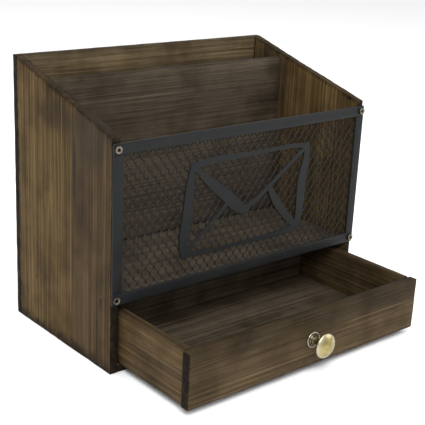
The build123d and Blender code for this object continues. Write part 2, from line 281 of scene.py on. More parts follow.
def wood(name, along, across, tones, pith, edges, planes, seed=0.0, knots=(), stains=(), painted_fade=None,
         stave=None, bold=0.7):
    """Stained wood. along and across are axis numbers, tones are (light, middle, dark), pith is
    (place across, depth from the middle of the board, lean along), edges feed edge_burn, planes are
    the faces of the board, knots are (along, across, radius), stains are (along, across, half length,
    half width, colour, amount), fade is painted shade that darkens the board towards one end, given as
    (axis, from, to, tone, amount), stave is (joint place, its tones, its pith place) and bold is how
    strongly the lines show."""
    rim = "#130f0b"
    g = Graph(name)
    place = g.place()
    split = g.tree.nodes.new("ShaderNodeSeparateXYZ")
    g.plug(split.inputs[0], place)
    thick = 3 - along - across
    length_at, across_at, depth_at = split.outputs[along], split.outputs[across], split.outputs[thick]
    faces = [offset * normal[thick] for normal, offset in planes if abs(normal[thick]) > 0.99]
    own_shift = (seed, seed * 0.7, seed * 1.3)
    shift, pith_across = own_shift, pith[0]
    light, middle, dark = tones
    if stave:          # beyond the glue joint lies another board with its own pattern and tones
        joint, other_tones, other_pith = stave
        beyond = g.math("GREATER_THAN", joint, across_at)
        shift = g.add("VectorMath", {0: (STAVE_SHIFT,) * 3, "Scale": beyond}, operation="SCALE")
        shift = g.add("VectorMath", {0: shift, 1: own_shift}, operation="ADD")
        pith_across = g.math("ADD", g.math("MULTIPLY", beyond, other_pith - pith[0]), pith[0])
        light, middle, dark = (g.mix(beyond, one, two) for one, two in zip(tones, other_tones))
    shifted = g.add("VectorMath", {0: place, 1: shift}, operation="ADD")

    def stretch(lengthwise, crosswise):
        scale = [crosswise] * 3
        scale[along] = lengthwise
        return tuple(scale)

    # the rings: distance from a pith line that leans slightly, bent by slow noise and by knots
    slow = g.noise(shifted, stretch(2.4, 9), detail=2)
    fast = g.noise(shifted, stretch(7, 70), detail=2)
    bent = g.math("ADD", across_at, g.math("MULTIPLY", g.math("SUBTRACT", slow, 0.5), WARP * 2.2))
    bent = g.math("ADD", bent, g.math("MULTIPLY", g.math("SUBTRACT", fast, 0.5), WARP * 0.22))
    for knot_along, knot_across, radius in knots:
        away = g.math("DIVIDE", g.math("SUBTRACT", length_at, knot_along), radius * 4)
        near = g.math("EXPONENT", g.math("MULTIPLY", g.math("POWER", away, 2.0), -1.0))
        side = g.math("SUBTRACT", across_at, knot_across)
        spread = g.math("ADD", g.math("ABSOLUTE", side), radius * 0.8)
        pushed = g.math("DIVIDE", radius * radius * 1.3, spread)
        push = g.math("MULTIPLY", g.math("MULTIPLY", pushed, near), g.math("SIGN", side))
        bent = g.math("SUBTRACT", bent, push)
    sideways = g.math("SUBTRACT", bent, pith_across)
    below = g.math("ADD", g.math("MULTIPLY", length_at, pith[2]), pith[1] - sum(faces) / 2)
    below = g.math("ADD", below, depth_at)
    radius = g.math("SQRT", g.math("ADD", g.math("POWER", sideways, 2.0), g.math("POWER", below, 2.0)))
    phase = g.math("DIVIDE", radius, RING)
    phase = g.math("ADD", phase, g.math("MULTIPLY", g.noise(shifted, stretch(0.8, 16), detail=1), 1.3))
    ring = g.math("FRACT", phase)
    line = g.math("MULTIPLY", g.span(ring, 0.45, 0.86), g.span(ring, 0.90, 1.0, 1.0, 0.0))
    early = g.math("MULTIPLY", g.span(ring, 0.0, 0.08), g.span(ring, 0.10, 0.42, 1.0, 0.0))
    vary = g.noise(shifted, stretch(1.6, 60), detail=3, rough=0.65)
    line = g.math("MULTIPLY", line, g.span(vary, 0.40, 0.66, 0.10, 1.0))
    early = g.math("MULTIPLY", early, g.span(vary, 0.50, 0.62, 0.0, 1.0))

    # the stain: broad patches, long streaks, then fibres and pores
    broad = g.noise(shifted, stretch(2.2, 17), detail=2)
    streak = g.noise(shifted, stretch(1.6, 150), detail=3, rough=0.62)
    thin = g.noise(shifted, stretch(3.0, 480), detail=2, rough=0.6)
    soft = g.noise(shifted, stretch(1.3, 42), detail=2)
    base = g.mix(g.span(streak, 0.42, 0.64, 0.0, 0.6 * bold), middle, light)
    base = g.mix(g.span(soft, 0.46, 0.66, 0.0, 0.55), base, light)
    base = g.mix(g.span(streak, 0.46, 0.33, 0.0, 0.4 * bold), base, dark)
    base = g.mix(g.span(broad, 0.42, 0.72, 0.0, 0.34), base, dark)
    base = g.mix(g.math("MULTIPLY", early, bold * 0.9), base, light)
    base = g.mix(g.math("MULTIPLY", line, bold * 0.62), base, dark)
    thin_tone = g.ramp(thin, [(0.30, "#c2beb8"), (0.5, "#eceae8"), (0.68, "#ffffff")])
    base = g.mix(1.0, base, thin_tone, "MULTIPLY")
    fibre = g.noise(shifted, stretch(18, 1300), detail=2, rough=0.6)
    base = g.mix(1.0, base, g.ramp(fibre, [(0.28, "#bebebe"), (0.55, "#ffffff")]), "MULTIPLY")
    blot = g.noise(shifted, (30, 30, 30), detail=3)
    base = g.mix(1.0, base, g.ramp(blot, [(0.3, "#c6c3be"), (0.58, "#ffffff")]), "MULTIPLY")
    pore = g.span(g.noise(shifted, stretch(60, 1500), detail=1), 0.67, 0.78)
    base = g.mix(g.math("MULTIPLY", pore, 0.5), base, rim)
    # painted shade: towards one end along an axis the board is multiplied by the tone, which darkens it
    if painted_fade:
        axis, start, end, tone, amount = painted_fade
        cloudy = g.math("MULTIPLY", g.math("SUBTRACT", broad, 0.5), (end - start) * 0.6)
        painted_shade = g.span(g.math("ADD", split.outputs[axis], cloudy), start, end, 0.0, amount)
        base = g.mix(painted_shade, base, g.mix(1.0, base, tone, "MULTIPLY"))
    if stave:
        gap = g.math("ABSOLUTE", g.math("SUBTRACT", across_at, joint))
        base = g.mix(g.span(gap, 0.15 * MM, 0.75 * MM, 0.45, 0.0), base, rim)
    for knot_along, knot_across, size in knots:
        inside = spot(g, length_at, across_at, (knot_along, knot_across), (size * 1.5, size), blot)
        base = g.mix(g.math("MULTIPLY", inside, 0.85), base, "#1b140f")
    for stain_along, stain_across, half_length, half_width, colour, amount in stains:
        inside = spot(g, length_at, across_at, (stain_along, stain_across),
                      (half_length, half_width), streak)
        base = g.mix(g.math("MULTIPLY", inside, amount), base, colour)
    burn = edge_burn(g, place, edges)
    burn = g.math("MAXIMUM", burn, g.math("MULTIPLY", arris_line(g, place, planes, ARRIS_WIDTH), 0.8))
    burnt = g.ramp(g.noise(place, (170, 170, 170), detail=3, rough=0.6),
                   [(0.32, "#090706"), (0.52, rim), (0.75, "#261e16")])
    g.set(Base_Color=g.mix(g.math("MULTIPLY", burn, 0.92), base, burnt))
    rough = g.evenly(fibre, 0.2, 0.8, WOOD_ROUGH, WOOD_SMOOTH)
    g.set(Roughness=g.math("ADD", rough, g.math("MULTIPLY", burn, 0.10)))
    g.shader.inputs["Specular IOR Level"].default_value = WOOD_SPECULAR
    height = g.math("ADD", g.math("MULTIPLY", fibre, 0.35), g.math("MULTIPLY", line, 0.45))
    height = g.math("ADD", height, g.math("MULTIPLY", pore, -0.5))
    height = g.math("ADD", height, g.math("MULTIPLY", g.math("MULTIPLY", burn, blot), 0.6))
    g.bump(height, GRAIN_DEPTH, 0.8)
    return g.material


print("wood finish ready")

# %% [markdown]
# ## Boards with a history
# A sawn board is a box, but no real one has perfect arrises: sanding rounds them and handling chips
# them. Each board starts as a cube stretched to the corners of its CAD part. Bisect cuts give it
# enough vertices to be worn in places, a Bevel modifier rounds the arrises, and a Displace modifier
# that can only push inwards eats small chips out of them. Only vertices close to an arris take
# part, so the flat faces stay true.

# %% Board helpers
BEVEL = 0.7 * MM
CHIP = 0.55 * MM               # how deep the chips go
WORN_REACH = 1.6 * MM          # how far from an arris a board is worn
BRAD_HOLE_R = 1.05 * MM
BRAD_HOLE_DEPTH = 0.42 * MM
SHORT_SIDE, SHORT_SPACING = 20 * MM, 4 * MM      # shorter sides are cut closer together
chips = bpy.data.textures.new("chips", "CLOUDS")
chips.noise_scale = 7 * MM
chips.noise_depth = 3
chips.contrast = 1.6


def cut_across(obj, axis, spacing):
    """Parallel cuts through a piece, square to an axis."""
    spots = [v.co[axis] for v in obj.data.vertices]
    lo, hi = min(spots), max(spots)
    count = max(1, round((hi - lo) / spacing))
    normal = [0.0, 0.0, 0.0]
    normal[axis] = 1.0
    edit(obj)
    for i in range(1, count):
        at = [0.0, 0.0, 0.0]
        at[axis] = lo + (hi - lo) * i / count
        bpy.ops.mesh.select_all(action="SELECT")
        bpy.ops.mesh.bisect(plane_co=at, plane_no=normal)
    bpy.ops.object.mode_set(mode="OBJECT")


def cut_away(obj, cutter):
    """Boolean difference that uses up the cutter."""
    apply_modifier(obj, "BOOLEAN", operation="DIFFERENCE", object=cutter, solver="EXACT")
    mesh = cutter.data
    bpy.data.objects.remove(cutter)
    bpy.data.meshes.remove(mesh)


def wear(obj, planes, chip, where):
    """Rounds the arrises of a board and chips them. planes are (normal, offset) of its faces, and
    where says how strongly a place is worn, from 0 to 1."""
    apply_modifier(obj, "BEVEL", width=BEVEL, segments=3, limit_method="ANGLE",
                   angle_limit=math.radians(30))
    group = obj.vertex_groups.new(name="arris")
    for vertex in obj.data.vertices:
        depths = sorted(max(0.0, offset - Vector(normal).dot(vertex.co)) for normal, offset in planes)
        weight = max(0.0, 1.0 - depths[1] / WORN_REACH) * (where(vertex.co) if where else 1.0)
        if weight > 0:
            group.add([vertex.index], weight, "REPLACE")
    apply_modifier(obj, "DISPLACE", texture=chips, texture_coords="LOCAL", direction="NORMAL",
                   strength=chip, mid_level=1.0, vertex_group="arris")
    smooth(obj, 50)


def box_planes(lo, hi):
    """The six face planes of a box as (outward normal, offset)."""
    planes = []
    for axis in range(3):
        for sign, corner in ((-1, lo), (1, hi)):
            normal = [0.0, 0.0, 0.0]
            normal[axis] = float(sign)
            planes.append((tuple(normal), sign * corner[axis]))
    return planes


def disc_cutter(centre, direction, radius, depth):
    """A short drill that sinks depth into a face at centre, along direction."""
    clear_selection()
    bpy.ops.mesh.primitive_cylinder_add(vertices=20, radius=radius, depth=2 * depth, location=centre)
    drill = bpy.context.object
    drill.rotation_euler = Vector(direction).to_track_quat("Z", "Y").to_euler()
    return settle(drill, "drill")


def dimples(obj, spots):
    """Sinks the small holes in which the brad heads lie."""
    for centre, direction in spots:
        cut_away(obj, disc_cutter(centre, direction, BRAD_HOLE_R, BRAD_HOLE_DEPTH))


def board(name, spacing=9 * MM, slots=(), holes=(), shape=None, chip=CHIP, where=None):
    """Models the board that stands for a CAD node. shape changes the cube first and gives the new face
    planes, slots are boxes cut out of the board, and holes are its brad holes."""
    lo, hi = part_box(name)
    obj = box_piece(name + "_board", lo, hi)
    planes = shape(obj, lo, hi) if shape else box_planes(lo, hi)
    for axis in range(3):
        cut_across(obj, axis, spacing if hi[axis] - lo[axis] > SHORT_SIDE else SHORT_SPACING)
    wear(obj, planes, chip, where)
    for low, high in slots:
        cut_away(obj, box_piece("slot", low, high))
    dimples(obj, holes)
    print(name, "->", len(obj.data.polygons), "faces")
    return obj


def dress(obj, material, body, slot, *nodes):
    """Gives a piece its finish and its body, and hides the CAD nodes it stands for. slot is not used."""
    obj.data.materials.clear()
    obj.data.materials.append(material)
    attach(obj, body)
    if nodes:
        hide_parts(*nodes)


print("board helpers ready")

# %% [markdown]
# ## The two side panels
# Their tops slope from the back down to the front. The cube's top front edge is selected and moved
# down to the height that the CAD part has there. The grain runs upright. The brad heads that hold
# the shelf, the base and the divider show as small dark points, so they get their dimples.

# %% Side panels
left_lo, left_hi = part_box("left_side_panel")
right_lo, right_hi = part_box("right_side_panel")
base_lo, base_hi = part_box("base_panel")
shelf_lo, shelf_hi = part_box("mail_shelf")
divider_lo, divider_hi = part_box("divider_panel")
bar_top_lo, bar_top_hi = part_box("frame_top_bar")
FRAME_DROP = 5 * MM
FRONT_TOP = bar_top_hi[2] + FRAME_DROP      # the sides end this high at the front
BACK_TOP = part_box("back_panel")[1][2]
SLOPE = (BACK_TOP - FRONT_TOP) / (left_hi[1] - left_lo[1])
KNOCK_Y, KNOCK_SPREAD = 8 * MM, 34 * MM     # where along the slope the chips are worst
SLOPE_BAND, LITTLE_WORN = 4 * MM, 0.28      # how deep the worn band is, and the wear below it
BRAD_INSET_FRONT, BRAD_INSET_BACK = 16 * MM, 14 * MM
BRAD_ABOVE_SHELF, BRAD_BELOW_TOP = 40 * MM, 30 * MM
slope_normal = Vector((0, -SLOPE, 1)).normalized()
slope_offset = slope_normal.dot(Vector((0, left_lo[1], FRONT_TOP)))
print("slope", round(math.degrees(math.atan(SLOPE)), 1), "degrees")


def slope_top(obj, lo, hi):
    """Lowers the front end of a side panel's top and raises the back to full height."""
    edit(obj, "VERT")
    pick(obj, "verts", lambda p: p.z > hi[2] - MM and p.y < 0)
    bpy.ops.transform.translate(value=(0, 0, FRONT_TOP - hi[2]))
    bpy.ops.mesh.select_all(action="DESELECT")
    pick(obj, "verts", lambda p: p.z > hi[2] - MM and p.y > 0)
    bpy.ops.transform.translate(value=(0, 0, BACK_TOP - hi[2]))
    bpy.ops.object.mode_set(mode="OBJECT")
    return side_planes(lo, hi)


def slope_wear(point):
    """The sloping tops of the sides are knocked about most, above all halfway down."""
    if slope_normal.dot(point) < slope_offset - SLOPE_BAND:
        return LITTLE_WORN
    return 0.45 + 0.55 * math.exp(-((point.y - KNOCK_Y) / KNOCK_SPREAD) ** 2)


def side_holes(x, inward):
    """Where the brads go through a side panel, as in the CAD."""
    middle = (divider_lo[1] + divider_hi[1]) / 2
    front, back = left_lo[1], left_hi[1]
    rows = [(y, z) for z in ((shelf_lo[2] + shelf_hi[2]) / 2, (base_lo[2] + base_hi[2]) / 2)
            for y in (front + BRAD_INSET_FRONT, 0.0, back - BRAD_INSET_BACK)]
    rows += [(middle, shelf_hi[2] + BRAD_ABOVE_SHELF), (middle, divider_hi[2] - BRAD_BELOW_TOP)]
    return [((x, y, z), (inward, 0, 0)) for y, z in rows]


def side_edges():
    """The rims of a side panel: front, back, bottom and the slope, whose cut is burnt a little less."""
    return [((0, -1, 0), -left_lo[1], 2.2 * MM, 1.0), ((0, 1, 0), left_hi[1], 3.6 * MM, 1.0),
            ((0, 0, -1), 0.0, 13.0 * MM, 0.85), (tuple(slope_normal), slope_offset, 4.4 * MM, 0.72)]


def side_planes(lo, hi):
    """The face planes of a side panel."""
    upright = [plane for plane in box_planes(lo, hi) if plane[0] != (0.0, 0.0, 1.0)]
    return upright + [(tuple(slope_normal), slope_offset)]


BROWN = ("#75613f", "#5a492d", "#3e301e")        # olive brown, the lighter boards
GREY_BROWN = ("#6a573c", "#4d3f2b", "#30271b")   # the darker, greyer boards
PALE_GREY = ("#827155", "#5f533e", "#3c3529")    # the back, faded by the light
SHADE = ("#605648", "#4d4438", "#362f26")        # boards stained darkest, inside
DRAWER_BROWN = ("#6c5a40", "#554732", "#383026")
# (along, across, half length, half width, colour, amount): the dark streak at the glue joint, patches
# below the slope, the foot of a knot, then thin pale lines
LEFT_STAINS = [(0.172, -0.0235, 0.050, 2.6 * MM, "#1d1f19", 0.85),
               (0.214, 0.006, 0.014, 0.034, "#2b2219", 0.6),
               (0.150, -0.040, 0.060, 0.016, "#2d241a", 0.35),
               (0.205, -0.046, 0.034, 0.030, "#322a21", 0.62),
               (0.064, -0.065, 0.011, 1.2 * MM, "#191510", 0.9),
               (0.150, 0.0440, 0.095, 1.0 * MM, "#7a6747", 0.42),
               (0.175, -0.003, 0.075, 1.1 * MM, "#725f40", 0.36),
               (0.120, -0.017, 0.110, 0.8 * MM, "#756245", 0.4),
               (0.060, 0.0505, 0.060, 1.0 * MM, "#776547", 0.36),
               (0.150, 0.0690, 0.090, 1.4 * MM, "#6c5a3b", 0.40)]
side_left = board("left_side_panel", spacing=5 * MM, holes=side_holes(left_lo[0], 1), shape=slope_top,
                  chip=2.6 * MM, where=slope_wear)
# the fade is a faint painted shade, slightly darker and warmer towards the bottom of the panel
dress(side_left, wood("wood_left_side", 2, 1, BROWN, (0.018, 0.006, 0.030), side_edges(),
                      side_planes(left_lo, left_hi), seed=0.37, knots=[(0.051, 0.0435, 1.5 * MM)],
                      stains=LEFT_STAINS, stave=(-0.0205, GREY_BROWN, -0.13), bold=0.72,
                      painted_fade=(2, 0.20, 0.02, "#fffaf2", 0.6)),
      "carcass", "panel_wood", "left_side_panel")
side_right = board("right_side_panel", spacing=5 * MM, holes=side_holes(right_hi[0], -1), shape=slope_top,
                   chip=1.8 * MM, where=slope_wear)
dress(side_right, wood("wood_right_side", 2, 1, GREY_BROWN, (-0.03, 0.016, -0.03), side_edges(),
                       side_planes(right_lo, right_hi), seed=4.1, stave=(0.022, BROWN, 0.09)),
      "carcass", "panel_wood", "right_side_panel")

# %% [markdown]
# ## Back, divider, shelf and base
# These boards have their grain lying left to right. The back panel is nailed on from behind, so its
# own left and right ends are seen as dark, burnt end grain.

# %% The flat boards of the carcass
def rims(name, thick_axis, widths, amounts=(1.0, 1.0, 1.0, 1.0)):
    """Rims on the four edges of a box-shaped board, and its planes. widths are millimetres and
    amounts are 0 to 1, both in order of the remaining axes, low end before high end."""
    lo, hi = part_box(name)
    edges = []
    ends = [(axis, sign) for axis in range(3) if axis != thick_axis for sign in (-1, 1)]
    for (axis, sign), width, amount in zip(ends, widths, amounts):
        normal = [0.0, 0.0, 0.0]
        normal[axis] = float(sign)
        edges.append((tuple(normal), sign * (lo if sign < 0 else hi)[axis], width * MM, amount))
    return edges, box_planes(lo, hi)


back_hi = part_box("back_panel")[1]
BACK_BRAD_INSET, BACK_BRAD_END, BACK_BRAD_X = 4 * MM, 24 * MM, 70 * MM
back_spots = [(s * (back_hi[0] - BACK_BRAD_INSET), z) for s in (-1, 1)
              for z in (BACK_BRAD_END, back_hi[2] / 2, back_hi[2] - BACK_BRAD_END)]
back_spots += [(x, z) for x in (-BACK_BRAD_X, BACK_BRAD_X)
               for z in ((base_lo[2] + base_hi[2]) / 2, (shelf_lo[2] + shelf_hi[2]) / 2)]
back_board = board("back_panel", holes=[((x, back_hi[1], z), (0, -1, 0)) for x, z in back_spots])
dress(back_board, wood("wood_back", 0, 2, PALE_GREY, (0.19, 0.012, 0.03),
                       *rims("back_panel", 1, (2.5, 2.5, 4, 2), (1, 1, 1, 0.6)), seed=2.2),
      "carcass", "panel_wood", "back_panel")
divider_board = board("divider_panel")
dress(divider_board, wood("wood_divider", 0, 2, SHADE, (0.25, 0.02, -0.02),
                          *rims("divider_panel", 1, (1, 1, 2, 1.5), (1, 1, 1, 0.6)), seed=6.6,
                          bold=0.35),
      "carcass", "panel_wood", "divider_panel")
for name, finish, pith, front_rim, seed in (("mail_shelf", "wood_shelf", (0.01, 0.02, 0.02), 2.5, 8.3),
                                            ("base_panel", "wood_base", (-0.02, 0.02, 0.03), 3, 9.9)):
    level_board = board(name, spacing=12 * MM)
    dress(level_board, wood(finish, 0, 1, SHADE, pith, *rims(name, 2, (1, 1, front_rim, 1.5)), seed=seed),
          "carcass", "panel_wood", name)

# %% [markdown]
# ## The drawer
# Five boards: a thick front that stands a little proud of the sides, two sides, a back, and a thin
# bottom held in grooves. The grooves are cut with a Boolean, so the bottom really sits in them.

# %% Drawer boards
front_lo, front_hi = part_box("drawer_front")
tray_lo, tray_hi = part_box("drawer_bottom")
GROOVE_PLAY, END_PLAY = 0.2 * MM, 0.5 * MM
groove_box = (Vector(tray_lo) - Vector((END_PLAY, END_PLAY, 0.0)),
              Vector(tray_hi) + Vector((END_PLAY, END_PLAY, GROOVE_PLAY)))
knob_lo, knob_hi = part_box("knob")
knob_x, knob_z = (knob_lo[0] + knob_hi[0]) / 2, (knob_lo[2] + knob_hi[2]) / 2
FRONT_STAINS = [(0.085, 0.037, 0.050, 0.8 * MM, "#776649", 0.32),
                (0.070, 0.031, 0.060, 0.7 * MM, "#776649", 0.28),
                (-0.045, 0.018, 0.060, 1.0 * MM, "#746347", 0.22)]
front_board = board("drawer_front", spacing=7 * MM, slots=[groove_box])
# the fade is painted shade that darkens the drawer front towards its top
dress(front_board, wood("wood_drawer_front", 0, 2, DRAWER_BROWN, (0.028, 0.010, 0.02),
                        *rims("drawer_front", 1, (1.6, 1.0, 1.6, 1.0), (1, 0.9, 0.9, 0.35)), seed=5.15,
                        bold=0.3, stains=FRONT_STAINS, painted_fade=(2, front_lo[2], front_hi[2], "#b4b4b2", 0.9)),
      "drawer", "drawer_wood", "drawer_front")
DRAWER_BRAD_UP, DRAWER_BRAD_DOWN = 15 * MM, 10 * MM
drawer_rear_lo, drawer_rear_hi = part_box("drawer_back")
for name, sign in (("drawer_left_side", -1), ("drawer_right_side", 1)):
    lo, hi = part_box(name)
    outside = lo[0] if sign < 0 else hi[0]
    y = (drawer_rear_lo[1] + drawer_rear_hi[1]) / 2
    spots = [((outside, y, z), (-sign, 0, 0)) for z in (lo[2] + DRAWER_BRAD_UP, hi[2] - DRAWER_BRAD_DOWN)]
    wall = board(name, spacing=8 * MM, slots=[groove_box], holes=spots)
    dress(wall, wood("wood_" + name, 1, 2, GREY_BROWN, (0.012, 0.010, 0.02),
                     *rims(name, 0, (1.5, 1, 1.6, 1.2), (1, 1, 1, 0.5)), seed=7.4 + sign),
          "drawer", "drawer_wood", name)
rear_board = board("drawer_back", spacing=8 * MM, slots=[groove_box])
dress(rear_board, wood("wood_drawer_back", 0, 2, SHADE, (0.0, 0.016, 0.02),
                       *rims("drawer_back", 1, (1, 1, 1.5, 1.2), (1, 1, 1, 0.5)), seed=1.7),
      "drawer", "drawer_wood", "drawer_back")
tray_board = board("drawer_bottom", spacing=14 * MM, chip=0.2 * MM)
dress(tray_board, wood("wood_tray", 0, 1, SHADE, (-0.1, 0.03, 0.02),
                       *rims("drawer_bottom", 2, (2, 2, 2, 2)), seed=3.3),
      "drawer", "tray_wood", "drawer_bottom")

# %% [markdown]
# ## Black powder-coated steel
# Powder coat melts into a skin with a faint orange-peel texture. It is almost black, slightly warm
# where it has been rubbed, and never mirror-smooth, so noise drives its roughness and a very
# shallow bump.

# %% Powder coat finish
PEEL = 2600            # how fine the orange peel is, in waves per metre
COAT_SPECULAR = 0.14


def powder_coat(name, colour="#18191a", worn="#222221", rough=(0.46, 0.60)):
    g = Graph(name)
    place = g.place()
    cloud = g.noise(place, (45, 45, 45), detail=3)
    speck = g.noise(place, (PEEL, PEEL, PEEL), detail=2)
    g.set(Base_Color=g.mix(g.span(cloud, 0.42, 0.78, 0.0, 0.55), colour, worn))
    g.set(Roughness=g.evenly(cloud, 0.3, 0.7, *rough))
    g.shader.inputs["Specular IOR Level"].default_value = COAT_SPECULAR
    g.bump(speck, 0.05 * MM, 0.5)
    return g.material


BLACK = powder_coat("powder_coat")
MESH_BLACK = powder_coat("mesh_coat", "#191a1c", "#242426", rough=(0.38, 0.50))
print("powder coat ready")

# %% [markdown]
# ## The frame
# Four flat bars, 10 by 2 mm, make a frame that is screwed to the front of the sides. They butt at
# the corners, where a thin weld was ground flat. Each bar is a cube with bevelled edges, and the
# screw holes are bored through.

# %% Frame bars
SCREW_BORE = 1.55 * MM
BAR_BEVEL = 0.45 * MM
LEVEL_BAR = 50 * MM                    # only the level bars are wider than this, and hold screws
screw_x = right_lo[0] + 4 * MM         # halfway through the thickness of a side
for name in ("frame_top_bar", "frame_bottom_bar", "frame_left_bar", "frame_right_bar"):
    lo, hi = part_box(name)
    bar = box_piece(name + "_steel", lo, hi)
    apply_modifier(bar, "BEVEL", width=BAR_BEVEL, segments=3, limit_method="ANGLE")
    if hi[0] - lo[0] > LEVEL_BAR:
        for x in (-screw_x, screw_x):
            centre = (x, lo[1], (lo[2] + hi[2]) / 2)
            cut_away(bar, disc_cutter(centre, (0, 1, 0), SCREW_BORE, 4 * MM))
    smooth(bar, 40)
    dress(bar, BLACK, "carcass", "black_steel", name)
    print(name, [round((b - a) / MM, 1) for a, b in zip(lo, hi)], "mm")

# %% [markdown]
# ## Expanded metal
# The sheet was slit and pulled open, so it is really a row of upright zigzag ribbons. Neighbours
# join in short upright knuckles, and between two knuckles each ribbon twists, which is why one
# diagonal looks heavier than the other from the side. One period of one ribbon is modelled from a
# small rectangle that is extruded upwards, shifted and twisted step by step. Two Array modifiers
# repeat it, a shifted copy makes the ribbons between, and bisect cuts trim the sheet to its
# rectangle.

# %% One period of ribbon
mesh_lo, mesh_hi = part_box("mesh_screen")
left_bar_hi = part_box("frame_left_bar")[1]
COLUMNS = 32
PITCH_X = -2 * left_bar_hi[0] / COLUMNS
PITCH_Z = PITCH_X * 1.303                  # the diamonds are taller than wide
KNUCKLE_L = 1.7 * MM
KNUCKLE_W = 0.66                           # width of a ribbon in a knuckle, in mm
RIBBON_T = 0.75 * MM
KNUCKLE_HALF = 0.62 * MM
SWING = PITCH_X / 4 - KNUCKLE_HALF / 2     # how far a ribbon swings to each side
MESH_MID = (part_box("frame_bottom_bar")[0][2] + bar_top_hi[2]) / 2
MESH_Y = mesh_lo[1] + 0.68 * MM            # middle of the sheet

# each step: (height as a share of half a period, sideways as a share of the swing, width in mm,
# twist in degrees)
half_k = KNUCKLE_L / PITCH_Z
STEPS = [(half_k, 1.0, KNUCKLE_W, 0), (half_k + 0.10, 0.82, 0.86, 16), (0.36, 0.40, 1.06, 32),
         (0.5, 0.0, 1.10, 36), (0.64, -0.40, 1.06, 32), (0.90 - half_k, -0.82, 0.86, 16),
         (1 - half_k, -1.0, KNUCKLE_W, 0), (1.0, -1.0, KNUCKLE_W, 0)]


def ribbon_period(name, x, z):
    """Extrudes one period of ribbon upwards from (x, z)."""
    clear_selection()
    bpy.ops.mesh.primitive_plane_add(size=1, location=(x + SWING, MESH_Y, z))
    obj = bpy.context.object
    obj.scale = (KNUCKLE_W * MM, RIBBON_T, 1)
    settle(obj, name)
    edit(obj)
    bpy.ops.mesh.select_all(action="SELECT")
    at_x, at_z, width, twist = SWING, 0.0, KNUCKLE_W, 0.0
    for half, mirror in ((0, 1), (1, -1)):
        for rise, side, new_width, new_twist in STEPS:
            to_x, to_z = mirror * side * SWING, (half + rise) * PITCH_Z / 2
            to_twist = mirror * new_twist
            bpy.ops.mesh.extrude_region_move(
                TRANSFORM_OT_translate={"value": (to_x - at_x, 0, to_z - at_z)})
            centre = (x + to_x, MESH_Y, z + to_z)
            # without a window a positive angle turns the other way, which suits either diagonal
            bpy.ops.transform.rotate(value=math.radians(twist), orient_axis="Z", center_override=centre)
            bpy.ops.transform.resize(value=(new_width / width, 1, 1), center_override=centre)
            bpy.ops.transform.rotate(value=-math.radians(to_twist), orient_axis="Z", center_override=centre)
            at_x, at_z, width, twist = to_x, to_z, new_width, to_twist
    bpy.ops.object.mode_set(mode="OBJECT")
    return obj


ribbon = ribbon_period("expanded_metal", mesh_lo[0] - PITCH_X, MESH_MID - 6 * PITCH_Z)
print("one period:", len(ribbon.data.polygons), "faces")

# %% Repeat, shift and trim the sheet
# Both end caps of a period go first: inside the finished ribbon they would be hidden walls.
NEAR = 0.01 * MM
edit(ribbon)
z_low = min(v.co.z for v in ribbon.data.vertices)
pick(ribbon, "faces", lambda p: p.z < z_low + NEAR or p.z > z_low + PITCH_Z - NEAR)
bpy.ops.mesh.delete(type="FACE")
bpy.ops.object.mode_set(mode="OBJECT")
apply_modifier(ribbon, "ARRAY", count=12, use_relative_offset=False, use_constant_offset=True,
               constant_offset_displace=(0, 0, PITCH_Z), use_merge_vertices=True, merge_threshold=NEAR)
apply_modifier(ribbon, "ARRAY", count=COLUMNS + 3, use_relative_offset=False, use_constant_offset=True,
               constant_offset_displace=(PITCH_X, 0, 0))
edit(ribbon)
bpy.ops.mesh.select_all(action="SELECT")
bpy.ops.mesh.duplicate_move(TRANSFORM_OT_translate={"value": (PITCH_X / 2, 0, PITCH_Z / 2)})
for at, normal in (((mesh_lo[0], 0, 0), (-1, 0, 0)), ((mesh_hi[0], 0, 0), (1, 0, 0)),
                   ((0, 0, mesh_lo[2]), (0, 0, -1)), ((0, 0, mesh_hi[2]), (0, 0, 1))):
    bpy.ops.mesh.select_all(action="SELECT")
    bpy.ops.mesh.bisect(plane_co=at, plane_no=normal, clear_outer=True, use_fill=True)
bpy.ops.mesh.select_all(action="SELECT")
bpy.ops.mesh.normals_make_consistent(inside=False)
bpy.ops.object.mode_set(mode="OBJECT")
smooth(ribbon, 50)
dress(ribbon, MESH_BLACK, "carcass", "black_steel", "mesh_screen")
print("sheet:", len(ribbon.data.polygons), "faces")

# %% [markdown]
# ## The sign and the small fixings
# The sign is laser-cut from sheet and keeps its crisp CAD mesh, with the same powder coat. The
# brads and the drawer's hidden screw and washer keep their CAD meshes too, and get dull wire and
# bright zinc.

# %% Metal finishes for the small parts
def worn_metal(name, bright, dull, rough, metallic=1.0):
    g = Graph(name)
    place = g.place()
    cloud = g.noise(place, (300, 300, 300), detail=3)
    scratch = g.noise(place, (3000, 500, 3000), detail=2)
    g.set(Base_Color=g.mix(g.span(cloud, 0.35, 0.68), bright, dull))
    g.shader.inputs["Metallic"].default_value = metallic
    g.set(Roughness=g.evenly(cloud, 0.3, 0.7, *rough))
    g.bump(scratch, 0.03 * MM, 0.35)
    return g.material


def keep_cad(node, material):
    """Finishes a CAD part that is shown as it is."""
    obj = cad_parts[node]
    obj.data.materials.clear()
    obj.data.materials.append(material)
    for slot in obj.material_slots:
        slot.material = material
    print("kept CAD mesh:", node)


keep_cad("envelope_sign", BLACK)
NAIL = worn_metal("nail_wire", "#4a3d2b", "#33291d", (0.55, 0.75), metallic=0.2)
ZINC = worn_metal("bright_zinc", "#a9adb0", "#80858a", (0.22, 0.4))
for node in ("side_brads", "back_brads", "drawer_brads"):
    keep_cad(node, NAIL)
keep_cad("knob_washer", ZINC)
keep_cad("knob_screw", ZINC)

# %% [markdown]
# ## Turned parts
# Screws and knobs are made on a lathe. In Blender the lathe is Spin: half of the outline is drawn
# point by point by extruding one vertex, and Spin sweeps it once round the axis. The seam is merged
# and the normals are made to point outwards.

# %% Lathe helper
SEAM = 0.004 * MM


